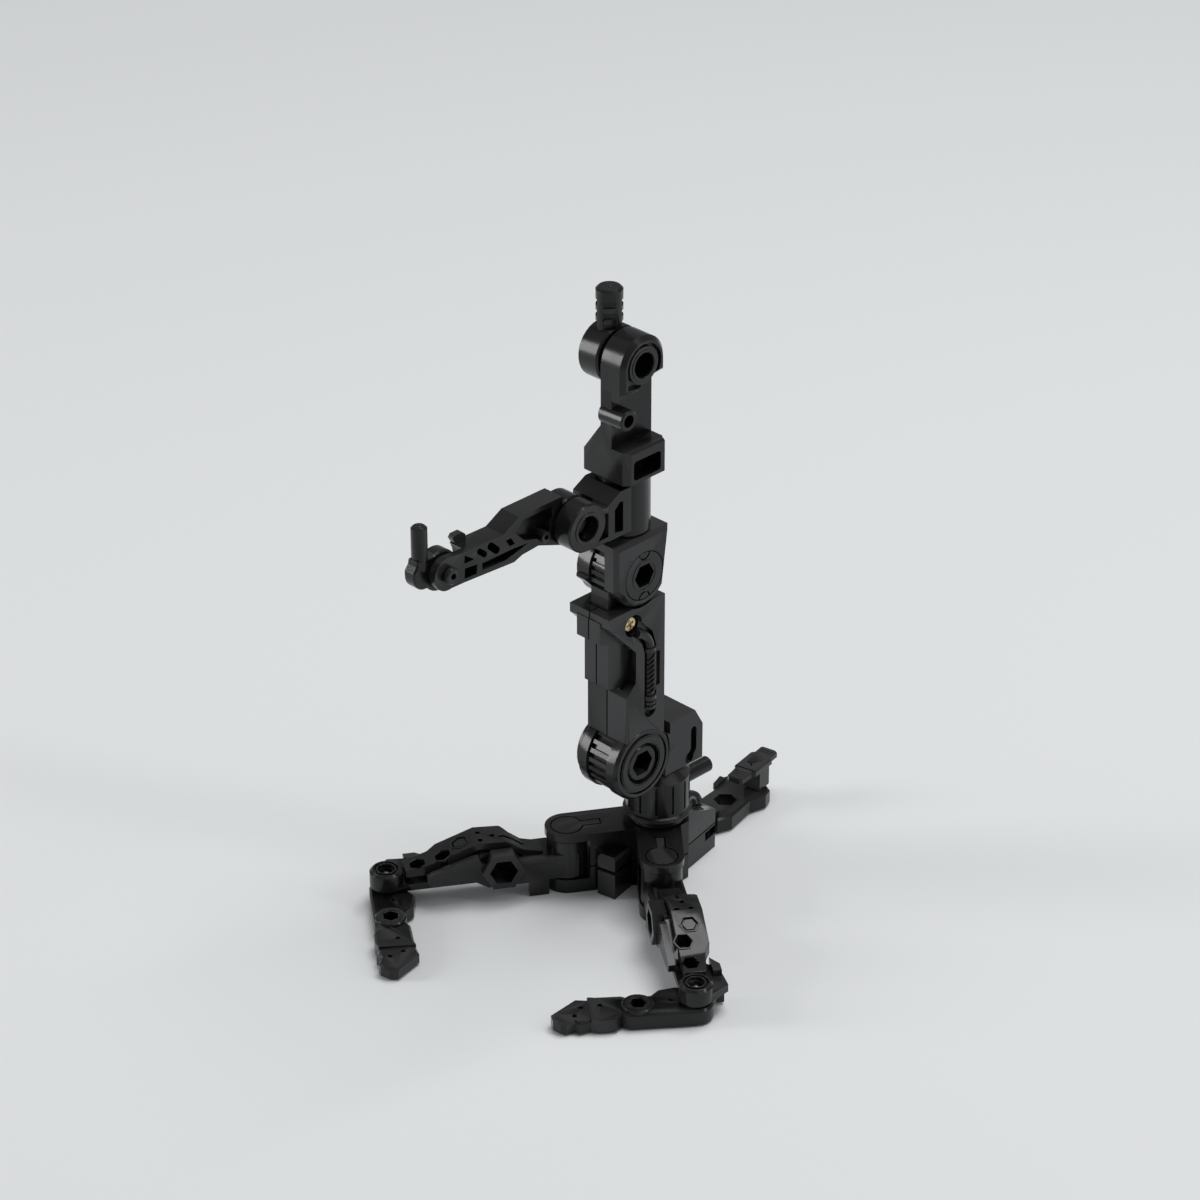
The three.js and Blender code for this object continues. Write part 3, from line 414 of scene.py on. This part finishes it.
LEG_SIDE = {"left": 1, "front": -1}  # the front leg mirrors the left one
FOOT_HEADING = {"left": -38.5, "front": -128.0}
FOOT_SOCKET_X = 10.6
SCREW_TIP_Z = 6.5  # where the tip's dome starts, 1 mm under the ankle's top
COVER_HEXAGONS = ((20.4, -1.4), (23.9, 0.3))  # along the leg and across it
CLIP_HEADING = 101.0

# A slope's upper edge (x, z), its fall and its run.
COVER_SLOPE = (17.3, 11.7, 3.6, 9.5)
REAR_ARM_SLOPE = (6.0, 11.6, 3.0, 7.2)


def add_winding_turn(form, middle, matrix):
    """A ring of wire round the hose, which leans up towards +Y."""
    rise = Vector((0, math.cos(WINDING_LEAN), math.sin(WINDING_LEAN)))
    across = Vector((0, -math.sin(WINDING_LEAN), math.cos(WINDING_LEAN)))
    path = [middle + WINDING_RADIUS * (u * X_AXIS + v * rise) for u, v in round_points(1.0, 28)]
    add_tube(form, path, WIRE_RADIUS, across, matrix, closed=True)


def hoses():
    """The ribbed hose relief in the channel on each side of the lower link."""
    matrix = about(JOINT_AT["base_tilt"])
    for name, side in HOSE_SIDES.items():
        x = side * HOSE_X
        bend = [Vector((x, y, z)) for y, z in HOSE_BEND]
        path = interpolate_bezier(*bend, BEND_POINTS) + [Vector((x, HOSE_Y, HOSE_END))]
        form = bmesh.new()
        add_tube(form, path, HOSE_RADIUS, X_AXIS, matrix, sides=20)
        finish_piece(f"hose_{name}", form, "lower_link")

        form = bmesh.new()
        for i in range(WINDING_TURNS):
            add_winding_turn(form, Vector((x, HOSE_Y, WINDING_LOW + WINDING_STEP * i)), matrix)
        finish_piece(f"hose_winding_{name}", form, "lower_link")

        form = bmesh.new()
        axis = matrix @ Matrix.Translation((x, HOSE_Y, 0.0))
        for low, high, radius in HOSE_COLLARS:
            add_plate(form, round_points(radius, 24), low, high, axis)
        finish_piece(f"hose_collars_{name}", form, "lower_link")


def hinge_rims():
    """Thin raised rims round the hinge sockets and caps."""
    for name, joint, body, side, inner, outer, low, high in HINGE_RIMS:
        form = bmesh.new()
        add_ring(form, inner, outer, low, high, about(JOINT_AT[joint]) @ facing_x(side))
        finish_piece(name, form, body)


def arm_guard():
    """The plate with cut corners that stands up on the far side of the side arm, behind its tip."""
    outline = [(-24.8, 3.0), (-25.9, 5.0), (-25.4, 5.6), (-23.6, 5.6), (-22.8, 4.9), (-22.6, 3.0)]
    # Takes the outline to Y and Z, and the thickness to X.
    upright = Matrix(((0, 0, 1, 0), (1, 0, 0, 0), (0, 1, 0, 0), (0, 0, 0, 1)))
    form = bmesh.new()
    add_plate(form, outline, low=-3.5, high=-2.2, matrix=about(JOINT_AT["side_arm_swing"]) @ upright)
    finish_piece("side_arm_guard", form, "side_arm")


def peg_nibs():
    """The small moulding nibs on the pegs' flat ends."""
    for name, body, mount in (
        ("head_peg_nib", "head", "head_peg_end"),
        ("side_peg_nib", "arm_tip", "side_peg_end"),
    ):
        form = bmesh.new()
        add_dome(form, radius=0.55, height=0.16, low=-0.1, matrix=about(MOUNT_AT[mount]))
        finish_piece(name, form, body)


def leg_details():
    """Hexagon rims on the covers, rims and screw tips on the ankles, and rims on the feet's sockets."""
    for name, side in LEG_SIDE.items():
        pivot, ankle = JOINT_AT[f"leg_{name}_swing"], JOINT_AT[f"foot_{name}_swing"]
        heading = heading_of(ankle - pivot)
        limb = about(on_ground(pivot), heading, side)
        form = bmesh.new()
        for x, y in COVER_HEXAGONS:
            inner, outer = round_points(1.7, 6, 30), round_points(2.0, 6, 30)
            add_band(form, inner, outer, -LET_IN, PROUD, limb @ on_slope(x, y, COVER_SLOPE))
        finish_piece(f"cover_hexagons_{name}", form, f"leg_{name}")

        form = bmesh.new()
        joint = about(on_ground(ankle), heading, side)
        add_ring(form, inner=1.62, outer=1.88, low=7.3, high=7.62, matrix=joint)
        add_ring(form, inner=2.42, outer=2.7, low=7.3, high=7.58, matrix=joint)
        finish_piece(f"ankle_rims_{name}", form, f"leg_{name}")

        form = bmesh.new()
        tip = joint @ Matrix.Translation((0.0, 0.0, SCREW_TIP_Z))
        add_dome(form, radius=0.62, height=0.25, low=-0.5, matrix=tip)
        finish_piece(f"ankle_screw_tip_{name}", form, f"leg_{name}", "steel")

        form = bmesh.new()
        foot = about(on_ground(ankle), FOOT_HEADING[name], side)
        socket = foot @ Matrix.Translation((FOOT_SOCKET_X, 0.0, 0.0))
        add_ring(form, inner=1.75, outer=2.2, low=3.7, high=4.02, matrix=socket)
        finish_piece(f"foot_socket_rim_{name}", form, f"foot_{name}")


def base_details():
    """The collar of the turntable, the slanted bars on the rear arm and the grips of the clip plate."""
    base = about(Vector((0.0, 0.0, 0.0)))
    form = bmesh.new()
    add_ring(form, inner=6.2, outer=6.62, low=14.35, high=14.7, matrix=base, sides=64)
    finish_piece("turntable_collar", form, "turntable")

    rear_arm = base @ Matrix.Rotation(math.radians(heading_of(JOINT_AT["tail_swing"])), 4, "Z")
    bar = [(0.0, -4.3), (0.35, -4.3), (1.1, -3.1), (0.75, -3.1)]
    form = bmesh.new()
    for x in (7.6, 8.5, 9.4):
        add_plate(form, bar, -LET_IN, PROUD, rear_arm @ on_slope(x, 0.0, REAR_ARM_SLOPE))
    finish_piece("rear_arm_bars", form, "hub")

    clip = about(on_ground(JOINT_AT["clip_swivel"]), CLIP_HEADING)
    width = 0.3
    half_length = 1.3
    form = bmesh.new()
    for x in (-6.6, -5.8, -5.0, 3.6, 4.3):
        grip = [(x, -half_length), (x + width, -half_length), (x + width, half_length), (x, half_length)]
        add_plate(form, grip, low=9.1, high=9.47, matrix=clip)
    finish_piece("clip_grips", form, "clip")


# ---- the scene ----------------------------------------------------------------------------------------
bpy.context.scene.view_settings.view_transform = "Standard"
add_camera()
add_lights()
add_floor()
MATERIALS = {
    "black_plastic": black_plastic("black_plastic", roughness=0.24),
    "steel": metal("steel", (0.34, 0.34, 0.345), roughness=0.3),
    "brass": metal("brass", (0.72, 0.58, 0.36), roughness=0.24),
}
dress_nodes()
hoses()
hinge_rims()
arm_guard()
peg_nibs()
leg_details()
base_details()
